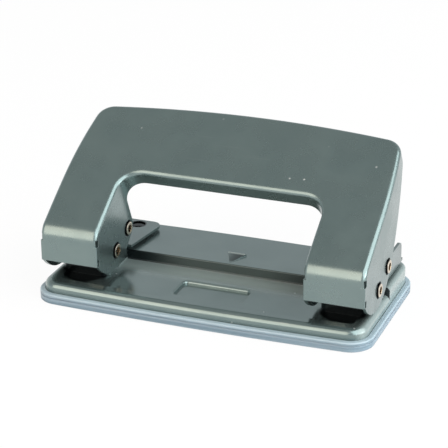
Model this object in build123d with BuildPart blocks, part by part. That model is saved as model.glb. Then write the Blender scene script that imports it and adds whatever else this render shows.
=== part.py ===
from build123d import *
import os
from math import atan2, ceil, cos, degrees, hypot, pi, radians, sin, sqrt

# Two-hole paper punch. X runs along the base, Y to the rear where the paper goes in, Z up.
# The origin is under the middle of the chip tray. All sizes are millimetres.

# Paper
hole_spacing = 80.0
paper_margin = 8.5
paper_slot = 0.8

# Chip tray
tray_margin = 1.85
tray_depth = 51.5
tray_corner = 6.9
edge_bow = 1.2
tray_height = 2.8
tray_wall = 1.5
tray_floor = 1.2
tray_gap = 0.1
tray_edge_round = 0.4
tray_line_z = 1.6
tray_line_width = 0.3
tray_line_depth = 0.15

# Base plate
base_sheet = 0.9
border_height = 5.8
border_width = 4.2
border_round = 1.8
platform_height = 4.9
table_height = 8.1
table_round = 1.0
step_y = 2.4
step_round = 0.3
pad_front = -11.9
pad_corner = 3.0
pad_round = 1.1
recess_length = 20.4
recess_width = 9.2
recess_y = -11.0
recess_depth = 1.0
recess_corner = 1.4
recess_rim = 0.75
mark_width = 5.8
mark_length = 6.7
mark_tip_y = 3.1
mark_height = 0.55

# Lever
lever_sheet = 0.9
leg_width = 17.8
apron_y = -21.6
apron_bottom = 12.2
bend_z = 22.1
bend_radius = 5.0
face_angle = 30.0
face_length = 50.6
face_radius = 396.0
top_taper = 2.1
top_bow = 2.9
top_corner = 5.5
taper_start = 19.5
window_top = 23.9
window_corner = 6.5
flange_depth = 4.8
cheek_top = 43.5
inner_cheek_top = 20.0
cheek_root = 5.0
edge_round = 1.4
apron_round = 0.4
lobe_y = -9.8
lobe_rise = 8.55
lobe_radius = 14.0
slit_set = 0.4
slit_width = 1.2
slit_height = 2.0
slit_z = 18.3

# Pins and punches
pivot_y = -8.0
pivot_rise = 2.35
drive_y = 0.6
drive_rise = 3.65
drive_boss = 3.2
pin_diameter = 2.8
pin_head = 4.2
pin_head_rise = 0.55
pin_head_round = 0.35
pin_dimple = 5.0
dimple_depth = 0.4
pin_end_bore = 2.3
pin_end_depth = 1.2
running_gap = 0.03
press_gap = 0.02
head_gap = 0.05
press_angle = 15.5
punch_diameter = 5.5
punch_crown = 3.0
punch_round = 0.75
punch_notch = 0.8
tip_rest = 0.1
slot_gap = 0.08

# Punch brackets
bracket_sheet = 0.8
side_gap = 0.5
foot_front = -11.0
foot_corner = 1.5
foot_half = 6.0
web_rear = 21.0
wing_front = 2.2
wing_front_x = 30.9
wing_rear_x = 28.3
wing_corner = 3.0
spare_hole = 4.6
spare_hole_x = 35.5
spare_hole_y = 17.5
pivot_ear = 3.3
pivot_ear_foot = 4.0
guard_front = 5.2
guard_rear = 19.6
guard_height = 5.9
guard_corner = 2.0
rivet_y = -9.7
rivet_spread = 6.2
rivet_diameter = 1.6
rivet_head = 2.4
rivet_head_height = 0.6
rivet_head_round = 0.4

# Guide bushes and dies
bush_bore_gap = 0.03
bush_spigot = 7.0
bush_collar = 8.0
bush_collar_height = 1.6
die_gap = 0.05
die_outer = 8.0
die_flange = 9.8
die_flange_height = 1.0

# Return springs
spring_wire = 0.5
spring_turns = 5
spring_pitch = 0.95
spring_pin_gap = 0.25
spring_leg_x = 4.5
spring_rest_gap = 0.05
spring_overhang = 1.5
spring_foot_length = 4.2

# Distance within which two places count as one
same_place = 0.001

# Places that follow from the sizes above
tray_length = hole_spacing + leg_width + 2 * tray_margin
reach = tray_length + tray_depth
punch_x = hole_spacing / 2
leg_outer = punch_x + leg_width / 2
leg_inner = punch_x - leg_width / 2
top_half_width = leg_outer - top_taper
skin_edge = tray_wall + tray_gap
bracket_half = leg_width / 2 - lever_sheet - side_gap
web_bottom = table_height + paper_slot
web_top = web_bottom + bracket_sheet
pivot_z = web_top + pivot_rise
drive_z = pivot_z + drive_rise
lobe_z = pivot_z + lobe_rise
guard_top = web_top + guard_height
arm = hypot(drive_y - pivot_y, drive_z - pivot_z)
drive_angle = degrees(atan2(drive_z - pivot_z, drive_y - pivot_y))
pressed_angle = drive_angle - press_angle
reach_rest = arm * cos(radians(drive_angle))
reach_pressed = arm * cos(radians(pressed_angle))
punch_y = pivot_y + (reach_rest + reach_pressed) / 2
pin_swing = abs(reach_pressed - reach_rest)
stop_y = punch_y - paper_margin
face_up = (cos(radians(face_angle)), sin(radians(face_angle)))
face_in = (sin(radians(face_angle)), -cos(radians(face_angle)))
face_plane = Plane(
    origin=(0, apron_y, bend_z),
    x_dir=(1, 0, 0),
    z_dir=(0, -face_in[0], -face_in[1]),
)


def face_point(along, inward):
    """Side-view point at a length along the lever's face and a depth behind it."""
    return (
        apron_y + along * face_up[0] + inward * face_in[0],
        bend_z + along * face_up[1] + inward * face_in[1],
    )


def tangent_points(first, first_radius, second, second_radius):
    """Ends of the line that touches two circles on the right of the way from first to second.

    A negative radius puts that circle's touching point on the left."""
    gap = hypot(second[0] - first[0], second[1] - first[1])
    way = ((second[0] - first[0]) / gap, (second[1] - first[1]) / gap)
    lean = (first_radius - second_radius) / gap
    side = sqrt(1 - lean * lean)
    normal = (way[0] * lean + way[1] * side, way[1] * lean - way[0] * side)
    return (
        (first[0] + first_radius * normal[0], first[1] + first_radius * normal[1]),
        (second[0] + second_radius * normal[0], second[1] + second_radius * normal[1]),
    )


def plan_outline(inset):
    """The tray's outline drawn in by inset: long edges bowed outward, corners round."""
    half_x = tray_length / 2 - inset
    middle_y = tray_depth / 2 - inset
    end_y = middle_y - edge_bow
    with BuildSketch() as plan:
        with BuildLine():
            ThreePointArc((-half_x, -end_y), (0, -middle_y), (half_x, -end_y))
            Line((half_x, -end_y), (half_x, end_y))
            ThreePointArc((half_x, end_y), (0, middle_y), (-half_x, end_y))
            Line((-half_x, end_y), (-half_x, -end_y))
        make_face()
        fillet(plan.vertices(), tray_corner - inset)
    return plan.sketch


def pad_outline(side, inset):
    """Raised pad under one lever leg, running forward from the table."""
    half = bracket_half - inset
    front = pad_front + inset
    rear = step_y + table_round + base_sheet
    with BuildSketch() as pad:
        with Locations((side * punch_x, (front + rear) / 2)):
            Rectangle(2 * half, rear - front)
        fillet(pad.vertices().group_by(Axis.Y)[0], pad_corner - inset)
    return pad.sketch


def on_recess_rim(edge, level):
    """True for an edge at the given height round the recess."""
    spot = edge.center()
    return (
        abs(spot.Z - level) < same_place
        and abs(spot.X) < recess_length / 2 + same_place
        and abs(spot.Y - recess_y) < recess_width / 2 + same_place
    )


def pressed_form(inset):
    """Solid inside the base plate's skin, drawn in by inset, from its foot to its top."""
    low_top = border_height - inset
    high_top = table_height - inset
    floor_top = platform_height - inset
    with BuildPart() as low:
        with BuildSketch(Plane.XY.offset(tray_floor)):
            add(plan_outline(skin_edge + inset))
        extrude(amount=low_top - tray_floor)
        fillet(low.faces().sort_by(Axis.Z)[-1].edges(), border_round - inset)
        with BuildSketch(Plane.XY.offset(floor_top)):
            add(plan_outline(skin_edge + border_width - inset))
        extrude(amount=reach, mode=Mode.SUBTRACT)
    with BuildPart() as high:
        with BuildSketch(Plane.XY.offset(tray_floor)):
            add(plan_outline(skin_edge + inset))
            with Locations((0, step_y + inset)):
                Rectangle(reach, reach, align=(Align.CENTER, Align.MIN), mode=Mode.INTERSECT)
        extrude(amount=high_top - tray_floor)
        top_edges = high.faces().sort_by(Axis.Z)[-1].edges()
        step_edge = top_edges.sort_by(Axis.Y)[0]
        fillet([edge for edge in top_edges if edge is not step_edge], table_round - inset)
        if step_round > inset:
            front_face = high.faces().sort_by(Axis.Y)[0]
            fillet(front_face.edges().group_by(Axis.Z)[-1], step_round - inset)
    with BuildPart() as pads:
        with BuildSketch(Plane.XY.offset(tray_floor)):
            add(pad_outline(1, inset))
            add(pad_outline(-1, inset))
        extrude(amount=high_top - tray_floor)
        fillet(pads.faces().group_by(Axis.Z)[-1].edges(), pad_round - inset)
    with BuildPart() as form:
        add(low.part)
        add(high.part)
        add(pads.part)
        with BuildSketch(Plane.XY.offset(floor_top)):
            with Locations((0, recess_y)):
                RectangleRounded(
                    recess_length + 2 * inset, recess_width + 2 * inset, recess_corner + inset
                )
        extrude(amount=-recess_depth, mode=Mode.SUBTRACT)
        if recess_rim > inset:
            fillet([edge for edge in form.edges() if on_recess_rim(edge, floor_top)], recess_rim)
    return form.part


# Chip tray
with BuildPart() as chip_tray:
    with BuildSketch():
        add(plan_outline(0))
    extrude(amount=tray_height)
    fillet(chip_tray.faces().sort_by(Axis.Z)[-1].edges(), tray_edge_round)
    with BuildSketch(Plane.XY.offset(tray_floor)):
        add(plan_outline(tray_wall))
    extrude(amount=tray_height, mode=Mode.SUBTRACT)
    with BuildSketch(Plane.XY.offset(tray_line_z)):
        add(plan_outline(0))
        add(plan_outline(tray_line_depth), mode=Mode.SUBTRACT)
    extrude(amount=tray_line_width, mode=Mode.SUBTRACT)

# Centre mark: a wedge that points at the paper stop and rises to the rear
mark_base_y = mark_tip_y + mark_length
mark_top = table_height + mark_height
with BuildPart() as centre_mark:
    with BuildSketch(Plane.XY.offset(table_height)):
        Polygon(
            (0, mark_tip_y),
            (mark_width / 2, mark_base_y),
            (-mark_width / 2, mark_base_y),
            align=None,
        )
    extrude(amount=mark_height)
    with BuildSketch(Plane.YZ):
        Polygon(
            (mark_tip_y, table_height),
            (mark_base_y, mark_top),
            (mark_tip_y, mark_top),
            align=None,
        )
    extrude(amount=mark_width, both=True, mode=Mode.SUBTRACT)

# Base plate
base_outside = pressed_form(0)
base_inside = pressed_form(base_sheet)
with BuildPart() as base_plate:
    add(base_outside)
    add(base_inside, mode=Mode.SUBTRACT)
    add(centre_mark.part)
    with BuildSketch():
        with Locations((punch_x, punch_y), (-punch_x, punch_y)):
            Circle(die_outer / 2 + press_gap)
        with Locations((spare_hole_x, spare_hole_y), (-spare_hole_x, spare_hole_y)):
            Circle(spare_hole / 2)
        with Locations((punch_x, rivet_y), (-punch_x, rivet_y)):
            with GridLocations(rivet_spread, 1, 2, 1):
                Circle(rivet_diameter / 2 + press_gap)
    extrude(amount=reach, mode=Mode.SUBTRACT)


def behind_face(inset):
    """Side view of everything behind the lever's front skin, drawn in by inset."""
    stretch = face_length + 2 * flange_depth
    rise = face_radius - sqrt(face_radius**2 - (stretch / 2) ** 2)
    corner = (apron_y, bend_z)
    far = face_point(stretch, 0)
    with BuildSketch() as region:
        with BuildLine():
            Line((apron_y, -reach), corner)
            ThreePointArc(corner, face_point(stretch / 2, -rise), far)
            Polyline(far, (reach, far[1]), (reach, -reach), (apron_y, -reach))
        make_face()
        fillet(region.vertices().sort_by_distance((apron_y, bend_z))[0], bend_radius)
        if inset > 0:
            offset(amount=-inset)
    return region.sketch


pivot = (pivot_y, pivot_z)
drive = (drive_y, drive_z)
lobe = (lobe_y, lobe_z)
lobe_touch, drive_touch = tangent_points(lobe, lobe_radius, drive, drive_boss)


def cheek_region(rear_along):
    """Side view from the lobes up to a rear edge that runs from the drive pin to the flange."""
    rear_top = face_point(rear_along, flange_depth)
    boss_rear = tangent_points(drive, drive_boss, rear_top, 0)[0]
    above = (2 * rear_top[0] - boss_rear[0], 2 * rear_top[1] - boss_rear[1])
    with BuildSketch() as region:
        Polygon(
            lobe_touch, drive_touch, drive, boss_rear, above,
            (-reach, reach), (-reach, lobe_touch[1]),
            align=None,
        )
        with Locations(drive):
            Circle(drive_boss)
    return region.sketch


def flange_band():
    """Side view of the strip just behind the lever's front skin."""
    with BuildSketch() as band:
        add(behind_face(0))
        add(behind_face(flange_depth), mode=Mode.SUBTRACT)
    return band.sketch


def lobe_outline():
    """Side view of a cheek's lower end, round the pivot and drive pins."""
    with BuildSketch() as outline:
        with Locations(lobe):
            Circle(lobe_radius)
        Polygon(lobe_touch, drive_touch, drive, lobe, align=None)
        with Locations((0, drive_z)):
            Rectangle(reach, reach, align=(Align.CENTER, Align.MAX), mode=Mode.INTERSECT)
        with Locations(drive):
            Circle(drive_boss)
        with Locations((apron_y + edge_round, apron_bottom)):
            Rectangle(reach, reach, align=(Align.MAX, Align.MIN), mode=Mode.SUBTRACT)
    return outline.sketch


def face_region(inset):
    """The lever's outline seen square to its face, drawn in by inset all round."""
    side = leg_outer - inset
    top_side = top_half_width - inset
    middle = face_length - inset
    end = middle - top_bow
    with BuildSketch() as window:
        with Locations((0, window_top + inset)):
            Rectangle(
                2 * (leg_inner + inset), reach, align=(Align.CENTER, Align.MAX)
            )
        fillet(window.vertices().group_by(Axis.Y)[-1], window_corner + inset)
    with BuildSketch() as region:
        with BuildLine():
            Polyline((-side, taper_start), (-side, -reach), (side, -reach), (side, taper_start))
            TangentArc((-side, taper_start), (-top_side, end), tangent=(0, 1))
            TangentArc((side, taper_start), (top_side, end), tangent=(0, 1))
            ThreePointArc((top_side, end), (0, middle), (-top_side, end))
        make_face()
        fillet(region.vertices().group_by(Axis.Y)[-1], top_corner - inset)
        add(window.sketch, mode=Mode.SUBTRACT)
    return region.sketch


def trim_region():
    """Everything between the outer cheeks, seen square to the lever's face."""
    side = leg_outer - lever_sheet
    top_side = top_half_width - lever_sheet
    end = face_length - lever_sheet - top_bow
    with BuildSketch() as region:
        with BuildLine():
            Polyline((-side, taper_start), (-side, -reach), (side, -reach), (side, taper_start))
            TangentArc((-side, taper_start), (-top_side, end), tangent=(0, 1))
            TangentArc((side, taper_start), (top_side, end), tangent=(0, 1))
            Polyline((-top_side, end), (-top_side, reach), (top_side, reach), (top_side, end))
        make_face()
    return region.sketch


def outer_cheek():
    """Side view of the lever above its apron's lower edge, cheeks and flange together."""
    with BuildSketch() as region:
        add(cheek_region(cheek_top))
        add(flange_band())
        with Locations((0, apron_bottom)):
            Rectangle(2 * reach, reach, align=(Align.CENTER, Align.MIN), mode=Mode.INTERSECT)
        add(behind_face(0), mode=Mode.INTERSECT)
    return region.sketch


def beyond_inner_cheek():
    """Side view of what the inner cheeks and the flanges between the outer cheeks don't reach."""
    with BuildSketch() as region:
        add(behind_face(flange_depth))
        add(cheek_region(inner_cheek_top), mode=Mode.SUBTRACT)
        root = face_point(inner_cheek_top, flange_depth)
        fillet(region.vertices().sort_by_distance(root)[0], cheek_root)
    return region.sketch


front_skin = behind_face(0).edges()


def on_front_skin(edge):
    """True for an edge whose ends and middle lie on the lever's front skin."""
    spots = [edge.position_at(share) for share in (0, 0.5, 1)]
    return all(
        min(side.distance_to(Vector(spot.Y, spot.Z, 0)) for side in front_skin) < same_place
        for spot in spots
    )


def crosses_leg(edge):
    """True for a straight edge that runs across one leg, where the skin only bends or ends."""
    return edge.geom_type == GeomType.LINE and abs(edge.center().X) > leg_inner and (
        abs(edge.tangent_at(0.5).X) > 0.99
    )


# Lever, first as a solid block with its front edges rounded
with BuildPart() as lever_block:
    with BuildSketch(Plane.YZ):
        add(outer_cheek())
    extrude(amount=leg_outer + lever_sheet, both=True)
    with BuildSketch(face_plane):
        add(face_region(0))
    extrude(amount=reach, both=True, mode=Mode.INTERSECT)
    skin_edges = [edge for edge in lever_block.edges() if on_front_skin(edge)]
    fillet([edge for edge in skin_edges if not crosses_leg(edge)], edge_round)

# The space inside the lever's sheet
with BuildPart() as lever_hollow:
    with BuildSketch(Plane.YZ):
        add(behind_face(lever_sheet))
    extrude(amount=leg_outer + lever_sheet, both=True)
    with BuildSketch(face_plane):
        add(face_region(lever_sheet))
    extrude(amount=reach, both=True, mode=Mode.INTERSECT)

# What is cut back between the outer cheeks
with BuildPart() as lever_trim:
    with BuildSketch(Plane.YZ):
        add(beyond_inner_cheek())
    extrude(amount=leg_outer, both=True)
    with BuildSketch(face_plane):
        add(trim_region())
    extrude(amount=reach, both=True, mode=Mode.INTERSECT)

# Lever: the block hollowed, with its cheeks' lower lobes, pin holes and corner slits
lever_shell = lever_block.part - lever_hollow.part - lever_trim.part
cheek_faces = (-leg_outer, -leg_inner - lever_sheet, leg_inner, leg_outer - lever_sheet)
dimple_faces = (-leg_outer, -leg_inner - dimple_depth, leg_inner, leg_outer - dimple_depth)
leg_sides = [
    (side * edge, side * inward)
    for side in (-1, 1)
    for edge, inward in ((leg_inner, 1), (leg_outer, -1))
]
slit_places = [
    (edge, apron_y + slit_set, height) for edge, inward in leg_sides for height in (apron_bottom, slit_z)
]
with BuildPart() as lever:
    add(lever_shell)
    for face_x in cheek_faces:
        with BuildSketch(Plane.YZ.offset(face_x)):
            add(lobe_outline())
        extrude(amount=lever_sheet)
    for edge, inward in leg_sides:
        with BuildSketch(Plane.XY.offset(apron_bottom)) as corner:
            with Locations((edge + inward * edge_round / 2, apron_y + edge_round / 2)):
                Rectangle(edge_round, edge_round)
            fillet(corner.vertices().sort_by_distance((edge, apron_y))[0], apron_round)
        extrude(amount=slit_z - apron_bottom)
    with BuildSketch(Plane.YZ):
        with Locations(pivot):
            Circle(pin_diameter / 2 + running_gap)
        with Locations(drive):
            Circle(pin_diameter / 2 + press_gap)
    extrude(amount=leg_outer, both=True, mode=Mode.SUBTRACT)
    for face_x in dimple_faces:
        with BuildSketch(Plane.YZ.offset(face_x)):
            with Locations(pivot, drive):
                Circle(pin_dimple / 2)
        extrude(amount=dimple_depth, mode=Mode.SUBTRACT)
    with Locations(*slit_places):
        Box(
            2 * edge_round, slit_width, slit_height,
            align=(Align.CENTER, Align.MIN, Align.MIN),
            mode=Mode.SUBTRACT,
        )


def make_pin(place, lift):
    """Riveted pin through one leg, its heads lifted off the cheeks' dimples by lift."""
    shank_half = leg_width / 2 - dimple_depth + lift
    head_height = dimple_depth - lift + pin_head_rise
    with BuildPart() as pin:
        with BuildSketch(Plane.YZ.offset(punch_x)):
            with Locations(place):
                Circle(pin_diameter / 2)
        extrude(amount=shank_half, both=True)
        for side in (-1, 1):
            with BuildSketch(Plane.YZ.offset(punch_x + side * shank_half)):
                with Locations(place):
                    Circle(pin_head / 2)
            extrude(amount=side * head_height)
        ends = pin.faces().filter_by(Axis.X).sort_by(Axis.X)
        fillet([ends[0].edges()[0], ends[-1].edges()[0]], pin_head_round)
        for side in (-1, 1):
            with BuildSketch(Plane.YZ.offset(punch_x + side * (leg_width / 2 + pin_head_rise))):
                with Locations(place):
                    Circle(pin_end_bore / 2)
            extrude(amount=-side * pin_end_depth, mode=Mode.SUBTRACT)
    return pin.part


pivot_pin = make_pin(pivot, head_gap)
drive_pin = make_pin(drive, 0)

# Punch: a round pin with a notched tip and a cross slot for the drive pin
tip_z = web_bottom + tip_rest
punch_top = drive_z + pin_diameter / 2 + punch_crown
slot_length = pin_diameter + pin_swing + 2 * slot_gap
with BuildPart() as punch:
    with BuildSketch(Plane.XY.offset(tip_z)):
        with Locations((punch_x, punch_y)):
            Circle(punch_diameter / 2)
    extrude(amount=punch_top - tip_z)
    fillet(punch.faces().sort_by(Axis.Z)[-1].edges(), punch_round)
    with BuildSketch(Plane.YZ.offset(punch_x)):
        with Locations((punch_y, drive_z)):
            SlotOverall(slot_length, pin_diameter + 2 * slot_gap)
        Polygon(
            (punch_y - punch_diameter / 2, tip_z),
            (punch_y + punch_diameter / 2, tip_z),
            (punch_y, tip_z + punch_notch),
            align=None,
        )
    extrude(amount=punch_diameter, both=True, mode=Mode.SUBTRACT)

# Bracket: one folded sheet that holds a punch unit over the pad
with BuildPart() as bracket:
    with BuildSketch(Plane.YZ.offset(punch_x)):
        Polygon(
            (foot_front, table_height),
            (stop_y, table_height),
            (stop_y, web_top),
            (stop_y - bracket_sheet, web_top),
            (stop_y - bracket_sheet, table_height + bracket_sheet),
            (foot_front, table_height + bracket_sheet),
            align=None,
        )
    extrude(amount=foot_half, both=True)
    fillet(bracket.edges().filter_by(Axis.Z).group_by(Axis.Y)[0], foot_corner)
    with BuildSketch(Plane.XY.offset(web_bottom)) as web:
        Polygon(
            (punch_x + bracket_half, stop_y - bracket_sheet),
            (punch_x + bracket_half, web_rear),
            (wing_rear_x, web_rear),
            (wing_front_x, wing_front),
            (punch_x - bracket_half, wing_front),
            (punch_x - bracket_half, stop_y - bracket_sheet),
            align=None,
        )
        rear_corners = web.vertices().group_by(Axis.Y)[-1].sort_by(Axis.X)
        fillet(rear_corners[0], wing_corner)
        with Locations((punch_x, punch_y)):
            Circle(bush_spigot / 2 + press_gap, mode=Mode.SUBTRACT)
        with Locations((spare_hole_x, spare_hole_y)):
            Circle(spare_hole / 2, mode=Mode.SUBTRACT)
    extrude(amount=bracket_sheet)
    for ear_x in (punch_x - bracket_half, punch_x + bracket_half - bracket_sheet):
        with BuildSketch(Plane.YZ.offset(ear_x)):
            with Locations(pivot):
                Circle(pivot_ear)
            Polygon(
                (stop_y - bracket_sheet, web_bottom),
                (pivot_y + pivot_ear_foot, web_bottom),
                (pivot_y + pivot_ear, pivot_z),
                (pivot_y - pivot_ear, pivot_z),
                align=None,
            )
        extrude(amount=bracket_sheet)
    with BuildSketch(Plane.YZ.offset(punch_x + bracket_half - bracket_sheet)) as guard:
        with Locations(((guard_front + guard_rear) / 2, (web_bottom + guard_top) / 2)):
            Rectangle(guard_rear - guard_front, guard_top - web_bottom)
        fillet(guard.vertices().group_by(Axis.Y)[-1], guard_corner)
    extrude(amount=bracket_sheet)
    with BuildSketch(Plane.YZ.offset(punch_x)):
        with Locations(pivot):
            Circle(pin_diameter / 2 + press_gap)
    extrude(amount=leg_width, both=True, mode=Mode.SUBTRACT)
    with BuildSketch():
        with Locations((punch_x, rivet_y)):
            with GridLocations(rivet_spread, 1, 2, 1):
                Circle(rivet_diameter / 2 + press_gap)
    extrude(amount=reach, mode=Mode.SUBTRACT)

# Guide bush in the bracket's web
with BuildPart() as guide_bush:
    with Locations((punch_x, punch_y, web_bottom)):
        Cylinder(bush_spigot / 2, bracket_sheet, align=(Align.CENTER, Align.CENTER, Align.MIN))
    with Locations((punch_x, punch_y, web_top)):
        Cylinder(
            bush_collar / 2, bush_collar_height, align=(Align.CENTER, Align.CENTER, Align.MIN)
        )
    with Locations((punch_x, punch_y, web_bottom)):
        Cylinder(
            punch_diameter / 2 + bush_bore_gap, reach,
            align=(Align.CENTER, Align.CENTER, Align.MIN),
            mode=Mode.SUBTRACT,
        )

# Die ring in the pad, its flange under the sheet
die_seat = table_height - base_sheet
with BuildPart() as die_ring:
    with Locations((punch_x, punch_y, die_seat)):
        Cylinder(die_outer / 2, base_sheet, align=(Align.CENTER, Align.CENTER, Align.MIN))
        Cylinder(
            die_flange / 2, die_flange_height, align=(Align.CENTER, Align.CENTER, Align.MAX)
        )
    with Locations((punch_x, punch_y, die_seat)):
        Cylinder(punch_diameter / 2 + die_gap, reach, mode=Mode.SUBTRACT)

# Rivets that hold the bracket's foot to the pad
rivet_grip = base_sheet + bracket_sheet
with BuildPart() as bracket_rivets:
    with Locations((punch_x, rivet_y, die_seat)):
        with GridLocations(rivet_spread, 1, 2, 1):
            Cylinder(rivet_diameter / 2, rivet_grip, align=(Align.CENTER, Align.CENTER, Align.MIN))
            Cylinder(
                rivet_head / 2, rivet_head_height, align=(Align.CENTER, Align.CENTER, Align.MAX)
            )
    with Locations((punch_x, rivet_y, die_seat + rivet_grip)):
        with GridLocations(rivet_spread, 1, 2, 1):
            Cylinder(
                rivet_head / 2, rivet_head_height, align=(Align.CENTER, Align.CENTER, Align.MIN)
            )
    fillet(bracket_rivets.edges().group_by(Axis.Z)[-1], rivet_head_round)

# Return spring: a torsion coil on the pivot pin, its lower leg on the web and its upper leg
# under the drive pin
coil_radius = pin_diameter / 2 + spring_pin_gap + spring_wire / 2
leg_clear = spring_wire / 2 + spring_rest_gap
foot_end = (pivot_y + spring_foot_length, web_top + leg_clear)
foot_touch = tangent_points(pivot, coil_radius, foot_end, 0)[0]
arm_start, arm_touch = tangent_points(pivot, -coil_radius, drive, pin_diameter / 2 + leg_clear)
first_angle = atan2(foot_touch[1] - pivot_z, foot_touch[0] - pivot_y)
last_angle = atan2(arm_start[1] - pivot_z, arm_start[0] - pivot_y) - 2 * pi * spring_turns
climb = spring_pitch / (2 * pi)
last_x = punch_x + spring_leg_x


def coil_point(angle):
    """Point of the coil's centre line."""
    return Vector(
        last_x - climb * (angle - last_angle),
        pivot_y + coil_radius * cos(angle),
        pivot_z + coil_radius * sin(angle),
    )


def coil_way(angle):
    """Unit direction of the coil's centre line."""
    return Vector(climb, coil_radius * sin(angle), -coil_radius * cos(angle)).normalized()


def biarc_joint(start, start_way, end, end_way):
    """Point and direction where two arcs meet that leave start and reach end as given."""
    span = end - start
    square = 2 * (1 - start_way.dot(end_way))
    across = span.dot(start_way + end_way)
    step = (sqrt(across**2 + square * span.dot(span)) - across) / square
    before = start + start_way * step
    after = end - end_way * step
    return (before + after) * 0.5, (after - before).normalized()


coil_steps = ceil((first_angle - last_angle) / (pi / 2))
coil_angles = [
    first_angle + (last_angle - first_angle) * step / coil_steps for step in range(coil_steps + 1)
]
foot_length = hypot(foot_touch[0] - foot_end[0], foot_touch[1] - foot_end[1])
arm_length = hypot(arm_touch[0] - arm_start[0], arm_touch[1] - arm_start[1]) + spring_overhang
with BuildLine() as spring_path:
    coil_start = coil_point(first_angle)
    Line(coil_start - coil_way(first_angle) * foot_length, coil_start)
    for angle, next_angle in zip(coil_angles, coil_angles[1:]):
        start = coil_point(angle)
        end = coil_point(next_angle)
        joint, joint_way = biarc_joint(start, coil_way(angle), end, coil_way(next_angle))
        TangentArc(start, joint, tangent=coil_way(angle))
        TangentArc(joint, end, tangent=joint_way)
    coil_end = coil_point(last_angle)
    Line(coil_end, coil_end + coil_way(last_angle) * arm_length)
with BuildPart() as return_spring:
    with BuildSketch(Plane(origin=spring_path.line @ 0, z_dir=spring_path.line % 0)):
        Circle(spring_wire / 2)
    sweep(path=spring_path.line)

half_turn = 18
sample_count = 2 * half_turn * (spring_turns - 1)
coil_samples = [coil_point(first_angle - step * pi / half_turn) for step in range(sample_count)]
turn_gap = min(
    (first - second).length
    for place, first in enumerate(coil_samples)
    for second in coil_samples[place + half_turn :]
)
print(f"least gap between the spring's turns: {turn_gap - spring_wire:.2f} mm")

# Labels and files
os.makedirs("parts", exist_ok=True)
single_pieces = {"chip_tray": chip_tray.part, "base_plate": base_plate.part, "lever": lever.part}
paired_pieces = {
    "bracket": bracket.part,
    "bracket_rivets": bracket_rivets.part,
    "pivot_pin": pivot_pin,
    "drive_pin": drive_pin,
    "punch": punch.part,
    "guide_bush": guide_bush.part,
    "die_ring": die_ring.part,
    "return_spring": return_spring.part,
}
for name, piece in single_pieces.items():
    piece.label = name
    export_step(piece, f"parts/{name}.step")
for name, piece in paired_pieces.items():
    with BuildPart() as left:
        mirror(piece, about=Plane.YZ)
    piece.label = f"{name}_right"
    left.part.label = f"{name}_left"
    export_step(piece, f"parts/{name}_right.step")
    export_step(left.part, f"parts/{name}_left.step")
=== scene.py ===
from math import atan2, cos, hypot, pi, radians, sin, sqrt

import bmesh
import bpy
from bpy.props import FloatProperty, FloatVectorProperty, IntProperty, PointerProperty
from bpy.types import Operator, Panel, PropertyGroup
from mathutils import Matrix, Vector


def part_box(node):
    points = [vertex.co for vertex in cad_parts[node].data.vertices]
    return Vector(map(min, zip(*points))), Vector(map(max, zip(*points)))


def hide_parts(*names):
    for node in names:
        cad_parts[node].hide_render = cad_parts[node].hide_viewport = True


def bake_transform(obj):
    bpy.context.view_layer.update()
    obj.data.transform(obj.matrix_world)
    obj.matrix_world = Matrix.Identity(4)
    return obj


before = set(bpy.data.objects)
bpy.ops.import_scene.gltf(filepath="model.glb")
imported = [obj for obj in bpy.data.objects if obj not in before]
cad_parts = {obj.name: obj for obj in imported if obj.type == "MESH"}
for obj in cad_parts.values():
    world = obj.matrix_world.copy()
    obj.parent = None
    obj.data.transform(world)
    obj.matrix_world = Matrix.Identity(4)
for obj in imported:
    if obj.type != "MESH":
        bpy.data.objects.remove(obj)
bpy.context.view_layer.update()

bl_info = {
    "name": "Paper punch",
    "version": (1, 0, 0),
    "blender": (4, 5, 0),
    "location": "View3D > Sidebar > Punch",
    "description": "Finishes and photographs a sheet-steel paper punch",
    "category": "Object",
}

MM = 0.001
SIDES = {"left": -1, "right": 1}
PINS = ("pivot_pin", "drive_pin")

# Places of painted shade on either side, in mm: distance aside, distance back, radius
UNDER_LEG = (40.0, -10.5, 7.0)
UNDER_WING = (35.5, 19.5, 3.4)
SPARE_HOLE = (35.5, 17.5, 2.6)

# Painted shade on the table's step wall: behind this line, heaviest this far aside, both in mm
STEP_LINE = 0.0
STEP_REACH = 32.0
STEP_SHADE = 0.95

# Spans over which the base plate's masks of painted shade and painted light fade, in mm
MARK_FOOT = (8.15, 8.25)  # up from the table onto the centre mark
MARK_CREST = (8.57, 8.60)  # up to the centre mark's crest
MARK_ACROSS = (-2.5, 1.0)  # from left to right over the centre mark
STEP_FRONT = (-8.5, -1.0)  # back towards the table's step
PLATFORM = (5.6, 5.2)  # down to the sunk platform
BASE_ENDS = (46.0, 48.5)  # out to either end

# Spans over which the masks round the pins fade, in mm: the paler rim, and the painted shade in
# hollows, round heads and in dimples
HOLLOW_RIM = (1.15, 1.25)  # out from the hollow end to its rolled rim
HOLLOW_FLOOR = (0.8, 1.1)  # along the pin to the floor of its hollow end
HEAD_EDGE = (1.85, 2.05)  # out over the edge of the head
DIMPLE_EDGE = (2.55, 2.45)  # in from the cheek to the dimple round the head

# Roughness that dust adds to paint, and that a scratch adds to plastic
DUST_DULLS = 0.4
SCRATCH_DULLS = 0.3

# Points along the springs' legs as shares of their length, and the size of a wire's cut end
FOOT_POINTS = (1.0, 0.985, 0.5)
ARM_POINTS = (0.35, 0.7, 0.985, 1.0)
CUT_END = 0.72

# Lamps: way to the lamp, distance and size in metres, power in watts and tint
LAMPS = {
    "key": ((-0.335, -0.82, 0.36), 0.80, (0.80, 0.80), 4.6, (1.0, 0.82, 0.69)),
    "side": ((0.84, -0.14, 0.52), 1.00, (1.60, 1.60), 22.0, (0.96, 0.99, 1.0)),
    "low": ((0.99, 0.01, 0.12), 0.75, (0.40, 0.14), 0.80, (0.97, 1.0, 1.0)),
}


# Settings


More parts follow.
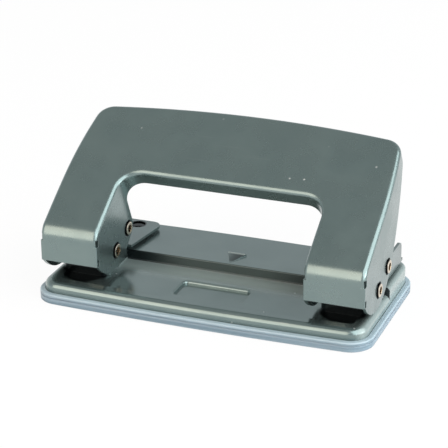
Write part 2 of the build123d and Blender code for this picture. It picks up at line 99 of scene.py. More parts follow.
def colour(name, description, value):
    """A colour setting."""
    return FloatVectorProperty(
        name=name, description=description, subtype="COLOR", size=3, min=0, max=1, default=value
    )


def share(name, description, value):
    """A setting from none to all."""
    return FloatProperty(
        name=name, description=description, subtype="FACTOR", min=0, max=1, default=value
    )


def length(name, description, value):
    """A length setting in metres."""
    return FloatProperty(name=name, description=description, unit="LENGTH", default=value)


def place(name, description, value):
    """A place in the model's frame."""
    return FloatVectorProperty(
        name=name, description=description, subtype="TRANSLATION", unit="LENGTH", size=3,
        default=value,
    )


def angle(name, description, value):
    """An angle setting, given in degrees."""
    return FloatProperty(
        name=name, description=description, subtype="ANGLE", default=radians(value)
    )


def count(name, description, value, least):
    """A setting in whole numbers."""
    return IntProperty(name=name, description=description, default=value, min=least)


class PunchPaint(PropertyGroup):
    """Enamel on the pressed steel."""

    enamel: colour("Enamel", "Colour of the grey-green enamel", (0.186, 0.246, 0.240))
    enamel_shade: colour("Enamel shade", "Cooler tone in its mottling", (0.172, 0.232, 0.228))
    thin_coat: colour("Thin coat", "Thinner enamel on the brackets", (0.150, 0.185, 0.182))
    # Near-black painted shade: laid under the legs and wings, on the step wall, on the centre mark
    # and in the pin dimples
    painted_shade: colour("Painted shade", "Painted shade in the nooks", (0.007, 0.010, 0.012))
    # Painted light: paler, less metallic paint standing in for highlights at the base's ends, in
    # front of the step and on the centre mark's crest
    painted_light: colour("Painted light", "Paler paint standing in for highlights", (0.26, 0.315, 0.305))
    bare_edge: colour("Rubbed edge", "Tone where an edge is rubbed thin", (0.42, 0.46, 0.44))
    dust: colour("Dust", "Colour of dust specks", (0.75, 0.76, 0.73))
    metal: share("Metal", "Share of metal flake in the enamel", 0.85)
    lever_gloss: share("Lever roughness", "Roughness of the lever's enamel", 0.28)
    base_gloss: share("Base roughness", "Roughness of the base plate's enamel", 0.20)
    coat: share("Coat", "Strength of the clear coat", 0.35)
    coat_gloss: share("Coat roughness", "Roughness of the clear coat", 0.16)
    wear: share("Wear", "How far the edges are rubbed", 0.30)
    edge: length("Edge", "Radius to which the sheet's edges are eased", 0.15 * MM)


class PunchMetal(PropertyGroup):
    """Bare and plated metal."""

    nickel: colour("Nickel", "Warm nickel plate in the pins' sunk ends", (0.90, 0.70, 0.46))
    rim: colour("Pin rim", "Paler plate on the pins' rolled rims", (0.70, 0.62, 0.50))
    steel: colour("Steel", "Ground steel of the punches and dies", (0.42, 0.43, 0.44))
    zinc: colour("Zinc", "Zinc plate on the rivets", (0.47, 0.47, 0.45))
    wire: colour("Wire", "Drawn spring wire", (0.34, 0.34, 0.35))
    tarnish: colour("Tarnish", "Film in the hollows of the metal", (0.13, 0.11, 0.09))
    # Near-black painted shade on the floor of the pins' sunk ends and round the edge of their
    # heads
    painted_shade: colour("Painted shade", "Painted shade round the riveted pins", (0.012, 0.012, 0.013))
    edge: length("Edge", "Radius to which the edges are eased", 0.10 * MM)


class PunchTray(PropertyGroup):
    """Moulded chip tray."""

    plastic: colour("Plastic", "Pale bluish plastic", (0.130, 0.195, 0.24))
    flow: colour("Flow marks", "Paler streaks in the moulding", (0.22, 0.295, 0.35))
    lip: colour("Lip", "Paler plastic of the thin upper lip", (0.305, 0.39, 0.435))
    dust: colour("Dust", "Colour of dust specks", (0.42, 0.46, 0.48))
    lip_height: length("Lip height", "Height at which the lip begins", 2.1 * MM)
    lip_fade: length("Lip fade", "Height over which the lip turns paler", 0.5 * MM)
    gloss: share("Roughness", "Roughness of the moulded skin", 0.30)
    glow: share("Glow", "Share of the light that goes into the plastic", 0.25)
    glow_depth: length("Glow depth", "How deep light goes into the plastic", 1.2 * MM)
    edge: length("Edge", "Radius to which the edges are eased", 0.3 * MM)


class PunchSpring(PropertyGroup):
    """Torsion springs on the pivot pins."""

    wire: length("Wire", "Diameter of the wire", 0.5 * MM)
    pitch: length("Pitch", "Distance from turn to turn", 0.95 * MM)
    turns: count("Turns", "Turns of the coil", 5, 1)
    coil: length("Coil radius", "Radius of the coil's centre line", 1.9 * MM)
    pin: length("Pin radius", "Radius of the pin the upper leg lies under", 1.4 * MM)
    rest: length("Rest", "Gap between a leg and what it rests on", 0.05 * MM)
    foot: length("Foot", "Reach of the lower leg behind the pivot", 4.2 * MM)
    overhang: length("Overhang", "Length of the upper leg beyond the pin", 1.5 * MM)
    sides: count("Sides", "Sides of the wire", 14, 6)
    steps: count("Steps", "Short runs that make up one turn", 40, 8)


class PunchStage(PropertyGroup):
    """Camera, lamps and floor."""

    target: place("Target", "Point the camera looks at", (2.428 * MM, -7.12 * MM, 25.0 * MM))
    azimuth: angle("Azimuth", "Way round of the camera", 21.323)
    elevation: angle("Elevation", "Height of the camera above the horizon", 22.967)
    roll: angle("Roll", "Tilt of the camera", -0.52)
    distance: length("Distance", "Distance of the camera", 515.28 * MM)
    lens: FloatProperty(name="Lens", description="Focal length in millimetres", default=145.43)
    lit: place("Lit point", "Point the lamps shine at", (0, 0, 20 * MM))
    floor: share("Floor", "Reflectance of the floor", 0.8)
    floor_reach: length("Floor reach", "Distance from the middle to the floor's edges", 4.0)
    floor_gap: length("Floor gap", "How far the floor lies under the tray", 0.1 * MM)
    white: share("White", "Share of plain white in what the camera sees of the floor", 0.93)
    horizon: colour("Horizon", "Light from low down all round", (0.74, 0.78, 0.81))
    zenith: colour("Zenith", "Light from overhead", (0.45, 0.46, 0.46))


# Node helpers


def put(tree, kind, links=None, **settings):
    """Adds a node, sets it up and joins or sets its inputs."""
    node = tree.nodes.new(kind)
    for name, value in settings.items():
        setattr(node, name, value)
    for socket, value in (links or {}).items():
        if isinstance(value, bpy.types.NodeSocket):
            tree.links.new(value, node.inputs[socket])
        else:
            node.inputs[socket].default_value = value
    return node


def use(tree, name, links):
    """Places a shared group in a material."""
    return put(tree, "ShaderNodeGroup", links, node_tree=bpy.data.node_groups[name]).outputs


def sums(tree, operation, first, *others):
    """A sum over values, two at a time, or on one value alone."""
    total = first
    for other in others or (0.0,):
        links = {0: total, 1: other}
        total = put(tree, "ShaderNodeMath", links, operation=operation).outputs[0]
    return total


def without(tree, mask):
    """What a mask leaves over."""
    return sums(tree, "SUBTRACT", 1.0, mask)


def ramp(tree, value, low, high, first=0.0, last=1.0):
    """Takes a value from one range to another, held at the ends."""
    links = {0: value, 1: low, 2: high, 3: first, 4: last}
    return put(tree, "ShaderNodeMapRange", links, interpolation_type="SMOOTHSTEP").outputs[0]


def fade(tree, value, span, first=0.0, last=1.0):
    """Takes a length from one end to the other of a span in mm."""
    return ramp(tree, value, span[0] * MM, span[1] * MM, first, last)


def blend_colour(tree, factor, first, second):
    """Mixes two colours."""
    return put(
        tree, "ShaderNodeMix", {0: factor, 6: first, 7: second}, data_type="RGBA"
    ).outputs[2]


def noise(tree, spot, scale, detail=3.0, roughness=0.5):
    """Soft noise between 0 and 1."""
    links = {"Vector": spot, "Scale": scale, "Detail": detail, "Roughness": roughness}
    return put(tree, "ShaderNodeTexNoise", links).outputs[0]


def stretched(tree, spot, scale, turn=0.0):
    """A place scaled along each axis and then turned about the upright one."""
    links = {"Vector": spot, "Rotation": (0, 0, turn), "Scale": scale}
    return put(tree, "ShaderNodeMapping", links).outputs[0]


def own_place(tree):
    """Coordinates on the piece, in metres of the model's frame."""
    return put(tree, "ShaderNodeTexCoord").outputs["Object"]


def facing(tree):
    """The way that the surface faces."""
    return put(tree, "ShaderNodeNewGeometry").outputs["Normal"]


def axes(tree, vector):
    """The parts of a place or a way along X, Y and Z."""
    return put(tree, "ShaderNodeSeparateXYZ", {0: vector}).outputs


def bumped(tree, height, normal, strength, depth):
    """Normal of a fine relief on a surface, its depth in metres."""
    links = {"Strength": strength, "Distance": depth, "Height": height, "Normal": normal}
    return put(tree, "ShaderNodeBump", links).outputs[0]


def opaque(value):
    """A colour setting with full alpha."""
    return (*value, 1.0)


def new_group(name, inputs, outputs):
    """A shader node group with named sockets, and its two end nodes."""
    group = bpy.data.node_groups.new(name, "ShaderNodeTree")
    for way, sockets in (("INPUT", inputs), ("OUTPUT", outputs)):
        for label, kind in sockets.items():
            group.interface.new_socket(label, in_out=way, socket_type=f"NodeSocket{kind}")
    return group, group.nodes.new("NodeGroupInput").outputs, group.nodes.new("NodeGroupOutput")


def finish_group(group, end, values):
    """Joins the results to a group's outputs."""
    for label, socket in values.items():
        group.links.new(socket, end.inputs[label])


# Shared finishes


def enamel_group():
    """Sprayed enamel: slow mottling of tone and the fine ripple of the sprayed film."""
    group, given, end = new_group(
        "Enamel film",
        {"Colour": "Color", "Shade": "Color", "Roughness": "Float", "Ripple": "Float"},
        {"Colour": "Color", "Roughness": "Float", "Height": "Float"},
    )
    spot = own_place(group)
    mottle = ramp(group, noise(group, spot, scale=55.0, detail=4.0), 0.35, 0.65)
    tone = blend_colour(group, mottle, given["Colour"], given["Shade"])
    smear = ramp(group, noise(group, spot, scale=120.0), 0.3, 0.7, first=-0.05, last=0.07)
    rough = sums(group, "ADD", given["Roughness"], smear)
    ripple = noise(group, spot, given["Ripple"], detail=2.0, roughness=0.4)
    grit = noise(group, spot, scale=2600.0, detail=2.0)
    height = sums(group, "ADD", ripple, sums(group, "MULTIPLY", grit, 0.12))
    finish_group(group, end, {"Colour": tone, "Roughness": rough, "Height": height})


def edge_group():
    """Rubbed sheet edges: a broken mask along sharp edges, and the eased edge's normal."""
    group, given, end = new_group(
        "Rubbed edges",
        {"Width": "Float", "Amount": "Float"},
        {"Mask": "Float", "Normal": "Vector"},
    )
    eased = put(group, "ShaderNodeBevel", {"Radius": given["Width"]}, samples=6).outputs[0]
    both = put(
        group, "ShaderNodeVectorMath", {0: eased, 1: facing(group)}, operation="DOT_PRODUCT"
    )
    turned = ramp(group, both.outputs["Value"], 0.995, 0.86)
    flaws = noise(group, own_place(group), scale=420.0, detail=5.0, roughness=0.65)
    broken = ramp(group, flaws, 0.38, 0.62)
    mask = sums(group, "MULTIPLY", turned, broken, given["Amount"])
    finish_group(group, end, {"Mask": mask, "Normal": eased})


def dust_group():
    """Dust: sparse specks, more of them where the surface looks up."""
    group, given, end = new_group(
        "Dust specks", {"Scale": "Float", "Amount": "Float"}, {"Mask": "Float"}
    )
    links = {"Vector": own_place(group), "Scale": given["Scale"]}
    cells = put(group, "ShaderNodeTexVoronoi", links).outputs
    chance = put(group, "ShaderNodeSeparateColor", {0: cells["Color"]}).outputs
    speck = ramp(group, cells["Distance"], 0.11, 0.05)
    kept = sums(group, "GREATER_THAN", chance[0], 0.86)
    up = ramp(group, axes(group, facing(group))[2], -0.2, 0.8, first=0.1)
    faint = ramp(group, chance[1], 0.0, 1.0, first=0.25)
    mask = sums(group, "MULTIPLY", speck, kept, up, faint, given["Amount"])
    finish_group(group, end, {"Mask": mask})


def scratch_group():
    """Hairline scratches: long thin streaks of two kinds along the piece, broken by patches."""
    group, given, end = new_group("Hairlines", {"Amount": "Float"}, {"Mask": "Float"})
    spot = own_place(group)
    streaks = []
    for turn, scale in ((0.35, (22.0, 900.0, 500.0)), (-0.8, (35.0, 1300.0, 600.0))):
        grain = noise(group, stretched(group, spot, scale, turn), scale=1.0, detail=1.0)
        streaks.append(ramp(group, grain, 0.71, 0.76))
    broken = ramp(group, noise(group, spot, scale=85.0, detail=2.0), 0.46, 0.60)
    mask = sums(group, "MULTIPLY", sums(group, "MAXIMUM", *streaks), broken, given["Amount"])
    finish_group(group, end, {"Mask": mask})


def shade_patch_group():
    """Painted shade in a round patch on either side of the middle."""
    group, given, end = new_group(
        "Grime patch",
        {"Aside": "Float", "Back": "Float", "Radius": "Float"},
        {"Mask": "Float"},
    )
    spot = own_place(group)
    where = axes(group, spot)
    aside = sums(group, "SUBTRACT", sums(group, "ABSOLUTE", where[0]), given["Aside"])
    back = sums(group, "SUBTRACT", where[1], given["Back"])
    squares = [sums(group, "POWER", gap, 2.0) for gap in (aside, back)]
    away = sums(group, "SQRT", sums(group, "ADD", *squares))
    near = sums(group, "DIVIDE", away, given["Radius"])
    ragged = ramp(group, noise(group, spot, scale=260.0), 0.3, 0.7, first=-0.05, last=0.05)
    mask = ramp(group, sums(group, "ADD", near, ragged), 1.08, 0.92, last=0.97)
    finish_group(group, end, {"Mask": mask})


def shaded_wall_group():
    """Painted shade on walls that face forward, behind a line, heaviest at the two ends."""
    group, given, end = new_group(
        "Grime wall",
        {"Line": "Float", "Reach": "Float", "Amount": "Float"},
        {"Mask": "Float"},
    )
    where = axes(group, own_place(group))
    forward = ramp(group, axes(group, facing(group))[1], -0.1, -0.6)
    behind = sums(group, "GREATER_THAN", where[1], given["Line"])
    aside = sums(group, "DIVIDE", sums(group, "ABSOLUTE", where[0]), given["Reach"])
    thick = ramp(group, aside, 0.3, 1.0, first=0.70)
    mask = sums(group, "MULTIPLY", behind, forward, thick, given["Amount"])
    finish_group(group, end, {"Mask": mask})


def metal_group():
    """Worked metal: tool marks stretched along the piece, with a film of tarnish."""
    group, given, end = new_group(
        "Worked metal",
        {"Colour": "Color", "Tarnish": "Color", "Grain": "Vector", "Roughness": "Float"},
        {"Colour": "Color", "Roughness": "Float", "Height": "Float"},
    )
    spot = own_place(group)
    grain = stretched(group, spot, given["Grain"])
    marks = noise(group, grain, scale=1.0, detail=4.0, roughness=0.6)
    clouds = noise(group, spot, scale=700.0, detail=4.0, roughness=0.6)
    film = ramp(group, clouds, 0.50, 0.72, last=0.45)
    tone = blend_colour(group, film, given["Colour"], given["Tarnish"])
    spread = ramp(group, marks, 0.2, 0.8, first=-0.10, last=0.12)
    rough = sums(group, "ADD", given["Roughness"], spread)
    finish_group(group, end, {"Colour": tone, "Roughness": rough, "Height": marks})


# Masks


def pin_axis(kind):
    """Depth and height of the pins of one kind, whose axis runs along X."""
    low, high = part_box(f"{kind}_left")
    return (low.y + high.y) / 2, (low.z + high.z) / 2


def from_axis(tree, kind):
    """Distance on the piece from the axis of the pins of one kind."""
    depth, height = pin_axis(kind)
    moved = put(
        tree, "ShaderNodeVectorMath", {0: own_place(tree), 1: (0, -depth, -height)}
    ).outputs[0]
    flat = put(
        tree, "ShaderNodeVectorMath", {0: moved, 1: (0, 1, 1)}, operation="MULTIPLY"
    ).outputs[0]
    return put(tree, "ShaderNodeVectorMath", {0: flat}, operation="LENGTH").outputs["Value"]


def pin_dimple_shade(tree):
    """Mask of the painted shade in the dimples round the pins' heads in the lever's cheeks."""
    rings = [fade(tree, from_axis(tree, kind), DIMPLE_EDGE) for kind in PINS]
    return sums(tree, "MAXIMUM", *rings)


def shade_patches(tree, *places):
    """Masks of the patches of painted shade at places given as distance aside, distance back and
    radius.
    """
    masks = []
    for aside, back, radius in places:
        given = {"Aside": aside * MM, "Back": back * MM, "Radius": radius * MM}
        masks.append(use(tree, "Grime patch", given)["Mask"])
    return masks


def base_shade(tree):
    """Mask of the painted shade on the base plate: under legs and wings, on step and centre mark.
    """
    step = use(tree, "Grime wall", {
        "Line": STEP_LINE * MM, "Reach": STEP_REACH * MM, "Amount": STEP_SHADE,
    })["Mask"]
    where = axes(tree, own_place(tree))
    # Painted shade on the centre mark's rising face, heavier towards its right
    mark = sums(
        tree, "MULTIPLY",
        fade(tree, where[2], MARK_FOOT),
        fade(tree, where[2], MARK_CREST, first=1.0, last=0.0),
        fade(tree, where[0], MARK_ACROSS, first=0.2, last=0.7),
    )
    return sums(tree, "MAXIMUM", step, mark, *shade_patches(tree, UNDER_LEG, UNDER_WING))


def bracket_shade(tree):
    """Mask of the painted shade on the brackets: under the legs and in the spare holes."""
    return sums(tree, "MAXIMUM", *shade_patches(tree, UNDER_LEG, SPARE_HOLE))


def painted_light_places(tree):
    """Mask of the painted light, paler and less metallic paint standing in for highlights: in
    front of the step, at both ends, on the centre mark's crest.
    """
    where = axes(tree, own_place(tree))
    corner = sums(
        tree, "MULTIPLY",
        fade(tree, where[1], STEP_FRONT, last=0.8),
        fade(tree, where[2], PLATFORM),
    )
    ends = fade(tree, sums(tree, "ABSOLUTE", where[0]), BASE_ENDS, last=0.7)
    return sums(tree, "MAXIMUM", corner, ends, fade(tree, where[2], MARK_CREST))


# Materials


def new_material(name):
    """An empty material and its node tree."""
    material = bpy.data.materials.new(name)
    material.use_nodes = True
    material.node_tree.nodes.clear()
    return material, material.node_tree


def close_material(tree, shader):
    """Joins a shader to the material's output."""
    end = put(tree, "ShaderNodeOutputMaterial")
    tree.links.new(shader.outputs[0], end.inputs["Surface"])


def enamel_material(name, paint, tones, gloss, dust, scratches, ripple, painted_shade, painted_light_mask=None):
    """Painted sheet steel in a tone mottled with a second tone, with painted shade and painted
    light laid on by their masks.
    """
    material, tree = new_material(name)
    film = use(tree, "Enamel film", {
        "Colour": opaque(tones[0]),
        "Shade": opaque(tones[1]),
        "Roughness": gloss,
        "Ripple": ripple,
    })
    edges = use(tree, "Rubbed edges", {"Width": paint.edge, "Amount": paint.wear})
    specks = use(tree, "Dust specks", {"Scale": 260.0, "Amount": dust})
    lines = use(tree, "Hairlines", {"Amount": scratches})
    tone = blend_colour(tree, edges["Mask"], film["Colour"], opaque(paint.bare_edge))
    tone = blend_colour(tree, lines["Mask"], tone, opaque(paint.bare_edge))
    tone = blend_colour(tree, specks["Mask"], tone, opaque(paint.dust))
    flake = paint.metal
    # Painted light: paler, less metallic paint over its mask
    if painted_light_mask:
        painted_light = painted_light_mask(tree)
        tone = blend_colour(tree, painted_light, tone, opaque(paint.painted_light))
        flake = sums(tree, "MULTIPLY", without(tree, painted_light), flake)
    # Painted shade: near-black colour over the shade mask, with the clear coat taken away there
    # too
    shaded = painted_shade(tree)
    tone = blend_colour(tree, shaded, tone, opaque(paint.painted_shade))
    shine = sums(tree, "MULTIPLY", without(tree, shaded), paint.coat)
    dusty = sums(tree, "MULTIPLY", specks["Mask"], DUST_DULLS)
    rough = sums(tree, "ADD", film["Roughness"], dusty)
    close_material(tree, put(tree, "ShaderNodeBsdfPrincipled", {
        "Base Color": tone,
        "Metallic": flake,
        "Roughness": rough,
        "Normal": bumped(
            tree, film["Height"], edges["Normal"], strength=0.10, depth=0.02 * MM
        ),
        "IOR": 1.5,
        "Coat Weight": shine,
        "Coat Roughness": paint.coat_gloss,
    }))
    return material


def metal_tree(name, metal, tone, grain, rough):
    """A material's tree with worked metal in it, and that metal's outputs."""
    material, tree = new_material(name)
    work = use(tree, "Worked metal", {
        "Colour": opaque(tone),
        "Tarnish": opaque(metal.tarnish),
        "Grain": grain,
        "Roughness": rough,
    })
    return material, tree, work


def close_metal(tree, metal, tone, work):
    """Joins worked metal in its final tone to the material's output."""
    edges = use(tree, "Rubbed edges", {"Width": metal.edge})
    close_material(tree, put(tree, "ShaderNodeBsdfPrincipled", {
        "Base Color": tone,
        "Metallic": 1.0,
        "Roughness": work["Roughness"],
        "Normal": bumped(
            tree, work["Height"], edges["Normal"], strength=0.25, depth=0.01 * MM
        ),
    }))


def metal_material(name, metal, tone, grain, rough):
    """Bare or plated metal with its tool marks."""
    material, tree, work = metal_tree(name, metal, tone, grain, rough)
    close_metal(tree, metal, work["Colour"], work)
    return material


def pin_material(name, metal, kind):
    """Plated pin: a paler rolled rim, a warm sunk end, and painted shade on the sunk end's floor
    and round the head's edge.
    """
    material, tree, work = metal_tree(name, metal, metal.nickel, (300, 1500, 1500), 0.20)
    out = from_axis(tree, kind)
    low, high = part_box(f"{kind}_right")
    along = sums(tree, "ABSOLUTE", axes(tree, own_place(tree))[0])
    inward = sums(
        tree, "MINIMUM",
        sums(tree, "SUBTRACT", along, low.x),
        sums(tree, "SUBTRACT", high.x, along),
    )
    rim = fade(tree, out, HOLLOW_RIM)
    # Painted shade on the floor of the sunk end and round the head's edge
    floor = sums(tree, "MULTIPLY", fade(tree, inward, HOLLOW_FLOOR), without(tree, rim))
    shaded = sums(tree, "MAXIMUM", floor, fade(tree, out, HEAD_EDGE))
    tone = blend_colour(tree, rim, work["Colour"], opaque(metal.rim))
    tone = blend_colour(tree, shaded, tone, opaque(metal.painted_shade))
    close_metal(tree, metal, tone, work)
    return material


def plastic_material(name, tray):
    """Pale moulded plastic that lets some light in."""
    material, tree = new_material(name)
    spot = own_place(tree)
    flow = stretched(tree, spot, (14.0, 14.0, 1500.0))
    streaks = ramp(tree, noise(tree, flow, scale=1.0), 0.35, 0.65)
    thin = ramp(tree, axes(tree, spot)[2], tray.lip_height, tray.lip_height + tray.lip_fade)
    specks = use(tree, "Dust specks", {"Scale": 330.0, "Amount": 0.5})
    lines = use(tree, "Hairlines", {"Amount": 0.25})
    edges = use(tree, "Rubbed edges", {"Width": tray.edge})
    tone = blend_colour(tree, streaks, opaque(tray.plastic), opaque(tray.flow))
    tone = blend_colour(tree, thin, tone, opaque(tray.lip))
    tone = blend_colour(tree, specks["Mask"], tone, opaque(tray.dust))
    scratched = sums(tree, "MULTIPLY", lines["Mask"], SCRATCH_DULLS)
    rough = sums(tree, "ADD", scratched, tray.gloss)
    close_material(tree, put(tree, "ShaderNodeBsdfPrincipled", {
        "Base Color": tone,
        "Roughness": rough,
        "Normal": bumped(tree, streaks, edges["Normal"], strength=0.12, depth=0.02 * MM),
        "IOR": 1.49,
        "Subsurface Weight": tray.glow,
        "Subsurface Radius": (1.0, 1.0, 1.0),
        "Subsurface Scale": tray.glow_depth,
    }))
    return material


def dress(node, material):
    """Gives a frame node its finish."""
    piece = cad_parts[node]
    piece.data.materials.clear()
    piece.data.materials.append(material)


# Springs


def tangent_points(first, first_radius, second, second_radius):
    """Ends of the line that touches two circles on the right of the way from first to second.

    A negative radius puts that circle's touching point on the left."""
    gap = hypot(second[0] - first[0], second[1] - first[1])
    way = ((second[0] - first[0]) / gap, (second[1] - first[1]) / gap)
    lean = (first_radius - second_radius) / gap
    side = sqrt(1 - lean * lean)
    normal = (way[0] * lean + way[1] * side, way[1] * lean - way[0] * side)
    return (
        (first[0] + first_radius * normal[0], first[1] + first_radius * normal[1]),
        (second[0] + second_radius * normal[0], second[1] + second_radius * normal[1]),
    )


def wire_piece(name, points, radius, sides):
    """A round wire along a line of points, its cut ends eased."""
    mesh = bpy.data.meshes.new(name)
    shape = bmesh.new()
    way = (points[1] - points[0]).normalized()
    across = way.orthogonal().normalized()
    rings = []
    last = len(points) - 1
    for index, point in enumerate(points):
        ahead = points[min(index + 1, last)] - points[max(index - 1, 0)]
        turn = way.rotation_difference(ahead.normalized())
        way = ahead.normalized()
        across = (turn @ across).normalized()
        aside = way.cross(across)
        size = radius * (CUT_END if index in (0, last) else 1.0)
        rings.append([
            shape.verts.new(
                point + size * (across * cos(2 * pi * k / sides) + aside * sin(2 * pi * k / sides))
            )
            for k in range(sides)
        ])
    for ring, following in zip(rings, rings[1:]):
        for k in range(sides):
            after = (k + 1) % sides
            shape.faces.new((ring[k], ring[after], following[after], following[k]))
    shape.faces.new(list(reversed(rings[0])))
    shape.faces.new(rings[-1])
    for face in shape.faces:
        face.smooth = len(face.verts) == 4
    shape.to_mesh(mesh)
    shape.free()
    piece = bpy.data.objects.new(name, mesh)
    bpy.context.scene.collection.objects.link(piece)
    return piece


# Operators


class PUNCH_OT_finishes(Operator):
    """Builds the finishes that several pieces share."""

    bl_idname = "punch.finishes"
    bl_label = "Shared finishes"

    def execute(self, context):
        groups = (
            enamel_group, edge_group, dust_group, scratch_group, shade_patch_group, shaded_wall_group,
            metal_group,
        )
        for build in groups:
            build()
        return {"FINISHED"}


class PUNCH_OT_lever(Operator):
    """Paints the folded lever."""

    bl_idname = "punch.lever"
    bl_label = "Lever"

    def execute(self, context):
        paint = context.scene.punch_paint
        # Painted shade in the dimples round the pins
        dress("lever", enamel_material(
            "lever_paint", paint, (paint.enamel, paint.enamel_shade), gloss=paint.lever_gloss,
            dust=0.8, scratches=0.06, ripple=520.0, painted_shade=pin_dimple_shade,
        ))
        return {"FINISHED"}


class PUNCH_OT_base(Operator):
    """Paints the pressed base plate."""

    bl_idname = "punch.base"
    bl_label = "Base plate"

    def execute(self, context):
        paint = context.scene.punch_paint
        # Painted shade under the legs and wings, on the step wall and centre mark; painted light
        # at the ends, before the step and on the mark's crest
        dress("base_plate", enamel_material(
            "base_paint", paint, (paint.enamel, paint.enamel_shade), gloss=paint.base_gloss,
            dust=1.0, scratches=0.2, ripple=480.0, painted_shade=base_shade, painted_light_mask=painted_light_places,
        ))
        return {"FINISHED"}


class PUNCH_OT_brackets(Operator):
    """Paints the brackets and plates their rivets."""

    bl_idname = "punch.brackets"
    bl_label = "Brackets and rivets"

    def execute(self, context):
        metal = context.scene.punch_metal
        paint = context.scene.punch_paint
        # Painted shade under the legs and round the spare holes
        coat = enamel_material(
            "bracket_paint", paint, (paint.thin_coat, paint.enamel_shade), gloss=paint.base_gloss,
            dust=0.5, scratches=0.4, ripple=640.0, painted_shade=bracket_shade,
        )
        zinc = metal_material("rivet_zinc", metal, metal.zinc, grain=(900, 900, 900), rough=0.42)
        for side in SIDES:
            dress(f"bracket_{side}", coat)
            dress(f"bracket_rivets_{side}", zinc)
        return {"FINISHED"}


class PUNCH_OT_pins(Operator):
    """Plates the riveted pins."""

    bl_idname = "punch.pins"
    bl_label = "Pins"

    def execute(self, context):
        metal = context.scene.punch_metal
        for kind in PINS:
            plated = pin_material(f"{kind}_nickel", metal, kind)
            for side in SIDES:
                dress(f"{kind}_{side}", plated)
        return {"FINISHED"}


class PUNCH_OT_cutters(Operator):
    """Finishes the punches, guide bushes and dies."""

    bl_idname = "punch.cutters"
    bl_label = "Punches, bushes and dies"

    def execute(self, context):
        metal = context.scene.punch_metal
        ground = metal_material(
            "ground_steel", metal, metal.steel, grain=(250, 250, 2600), rough=0.24
        )
        turned = metal_material(
            "turned_steel", metal, metal.zinc, grain=(400, 400, 1800), rough=0.34
        )
        for side in SIDES:
            dress(f"punch_{side}", ground)
            dress(f"die_ring_{side}", ground)
            dress(f"guide_bush_{side}", turned)
        return {"FINISHED"}


class PUNCH_OT_springs(Operator):
    """Winds the torsion springs, which twist between the bracket and the lever."""

    bl_idname = "punch.springs"
    bl_label = "Return springs"

    def execute(self, context):
        spring = context.scene.punch_spring
        metal = context.scene.punch_metal
        drawn = metal_material("drawn_wire", metal, metal.wire, grain=(900, 900, 900), rough=0.30)
        for side, sign in SIDES.items():
            self.wind(spring, f"return_spring_{side}", sign, drawn)
        return {"FINISHED"}

    def wind(self, spring, node, sign, drawn):
        """Winds one spring from its foot, round the pivot, to the arm under the drive pin."""
        low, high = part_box(node)
        pivot, drive = map(pin_axis, PINS)
        half = spring.wire / 2
        under_pin = spring.pin + spring.rest + half
        foot_end = (pivot[0] + spring.foot, low.z + half)
        foot_touch = tangent_points(pivot, spring.coil, foot_end, 0)[0]
        arm_start, arm_touch = tangent_points(pivot, -spring.coil, drive, under_pin)
        first = atan2(foot_touch[1] - pivot[1], foot_touch[0] - pivot[0])
        last = atan2(arm_start[1] - pivot[1], arm_start[0] - pivot[0]) - 2 * pi * spring.turns
        arm = hypot(arm_touch[0] - arm_start[0], arm_touch[1] - arm_start[1]) + spring.overhang
        foot = hypot(foot_touch[0] - foot_end[0], foot_touch[1] - foot_end[1])
        climb = spring.pitch / (2 * pi)
        slope = sqrt(spring.coil**2 + climb**2)
        outer = (high.x if sign > 0 else -low.x) - half
        last_x = outer - arm * climb / slope

        def on_coil(turn):
            """Point of the coil at an angle about the pivot."""
            return Vector((
                sign * (last_x - climb * (turn - last)),
                pivot[0] + spring.coil * cos(turn),
                pivot[1] + spring.coil * sin(turn),
            ))

        def along(turn):
            """Way of the wire at an angle about the pivot."""
            return Vector((
                sign * climb, spring.coil * sin(turn), -spring.coil * cos(turn)
            )) / slope

        steps = spring.steps * spring.turns
        points = [on_coil(first) - along(first) * foot * part for part in FOOT_POINTS]
        points += [on_coil(first + (last - first) * k / steps) for k in range(steps + 1)]
        points += [on_coil(last) + along(last) * arm * part for part in ARM_POINTS]
        piece = wire_piece(node.replace("return_", "wound_"), points, half, spring.sides)
        piece.data.materials.append(drawn)
        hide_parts(node)
        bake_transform(piece)


class PUNCH_OT_tray(Operator):
    """Moulds the chip tray's plastic."""

    bl_idname = "punch.tray"
    bl_label = "Chip tray"

    def execute(self, context):
        dress("chip_tray", plastic_material("tray_plastic", context.scene.punch_tray))
        return {"FINISHED"}


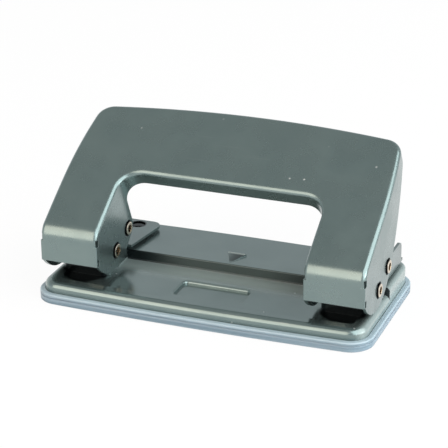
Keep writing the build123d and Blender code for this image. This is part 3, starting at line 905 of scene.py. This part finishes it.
class PUNCH_OT_stage(Operator):
    """Sets the floor, lamps and camera."""

    bl_idname = "punch.stage"
    bl_label = "Stage"

    def execute(self, context):
        stage = context.scene.punch_stage
        context.scene.view_settings.view_transform = "Standard"
        self.floor(context, stage)
        self.world(context, stage)
        self.lamps(context, stage)
        self.camera(context, stage)
        return {"FINISHED"}

    def floor(self, context, stage):
        """A matt floor that shows as plain white, straight or in a reflection."""
        mesh = bpy.data.meshes.new("floor")
        shape = bmesh.new()
        bmesh.ops.create_grid(shape, x_segments=1, y_segments=1, size=stage.floor_reach)
        shape.to_mesh(mesh)
        shape.free()
        floor = bpy.data.objects.new("floor", mesh)
        floor.location.z = -stage.floor_gap
        context.scene.collection.objects.link(floor)
        material, tree = new_material("floor_white")
        rays = put(tree, "ShaderNodeLightPath").outputs
        shown = [rays[f"Is {kind} Ray"] for kind in ("Camera", "Glossy", "Transmission")]
        part = sums(tree, "MULTIPLY", sums(tree, "MAXIMUM", *shown), stage.white)
        level = (stage.floor,) * 3
        matt = put(tree, "ShaderNodeBsdfDiffuse", {"Color": opaque(level)}).outputs[0]
        plain = put(tree, "ShaderNodeEmission", {"Strength": 1.0}).outputs[0]
        close_material(tree, put(tree, "ShaderNodeMixShader", {0: part, 1: matt, 2: plain}))
        mesh.materials.append(material)

    def world(self, context, stage):
        """Soft light from all round, dimmer overhead."""
        world = bpy.data.worlds.new("studio")
        world.use_nodes = True
        tree = world.node_tree
        tree.nodes.clear()
        way = put(tree, "ShaderNodeTexCoord").outputs["Generated"]
        height = ramp(tree, axes(tree, way)[2], 0.1, 0.8)
        tone = blend_colour(tree, height, opaque(stage.horizon), opaque(stage.zenith))
        sky = put(tree, "ShaderNodeBackground", {"Color": tone})
        end = put(tree, "ShaderNodeOutputWorld")
        tree.links.new(sky.outputs[0], end.inputs["Surface"])
        context.scene.world = world

    def lamps(self, context, stage):
        """Soft square lamps round the punch."""
        for name, (way, distance, size, power, tint) in LAMPS.items():
            light = bpy.data.lights.new(name, "AREA")
            light.shape = "RECTANGLE"
            light.size, light.size_y = size
            light.energy = power
            light.color = tint
            lamp = bpy.data.objects.new(name, light)
            direction = Vector(way).normalized()
            lamp.location = Vector(stage.lit) + direction * distance
            lamp.rotation_euler = direction.to_track_quat("Z", "Y").to_euler()
            context.scene.collection.objects.link(lamp)

    def camera(self, context, stage):
        """A camera at the photograph's viewing angle."""
        data = bpy.data.cameras.new("camera")
        data.lens = stage.lens
        data.sensor_width = 36.0
        data.clip_start = 0.01
        camera = bpy.data.objects.new("camera", data)
        flat = cos(stage.elevation)
        back = Vector((
            sin(stage.azimuth) * flat, -cos(stage.azimuth) * flat, sin(stage.elevation)
        ))
        right = Vector((cos(stage.azimuth), sin(stage.azimuth), 0))
        up = back.cross(right)
        tilted = right * cos(stage.roll) + up * sin(stage.roll)
        rows = Matrix((tilted, back.cross(tilted), back)).transposed()
        camera.matrix_world = Matrix.Translation(
            Vector(stage.target) + back * stage.distance
        ) @ rows.to_4x4()
        context.scene.collection.objects.link(camera)
        context.scene.camera = camera


STEPS = (
    PUNCH_OT_finishes, PUNCH_OT_lever, PUNCH_OT_base, PUNCH_OT_brackets, PUNCH_OT_pins,
    PUNCH_OT_cutters, PUNCH_OT_springs, PUNCH_OT_tray, PUNCH_OT_stage,
)
SETTINGS = {
    "punch_paint": PunchPaint,
    "punch_metal": PunchMetal,
    "punch_tray": PunchTray,
    "punch_spring": PunchSpring,
    "punch_stage": PunchStage,
}


class PUNCH_PT_sidebar(Panel):
    """Settings and steps of the paper punch."""

    bl_idname = "PUNCH_PT_sidebar"
    bl_label = "Paper punch"
    bl_space_type = "VIEW_3D"
    bl_region_type = "UI"
    bl_category = "Punch"

    def draw(self, context):
        for name, group in SETTINGS.items():
            box = self.layout.box()
            box.label(text=group.__doc__)
            for field in group.__annotations__:
                box.prop(getattr(context.scene, name), field)
        for step in STEPS:
            self.layout.operator(step.bl_idname)


CLASSES = (*SETTINGS.values(), *STEPS, PUNCH_PT_sidebar)


def register():
    for item in CLASSES:
        bpy.utils.register_class(item)
    for name, group in SETTINGS.items():
        setattr(bpy.types.Scene, name, PointerProperty(type=group))


def unregister():
    for name in SETTINGS:
        delattr(bpy.types.Scene, name)
    for item in reversed(CLASSES):
        bpy.utils.unregister_class(item)


def main():
    register()
    for step in STEPS:
        group, name = step.bl_idname.split(".")
        getattr(getattr(bpy.ops, group), name)()


if __name__ == "__main__":
    main()
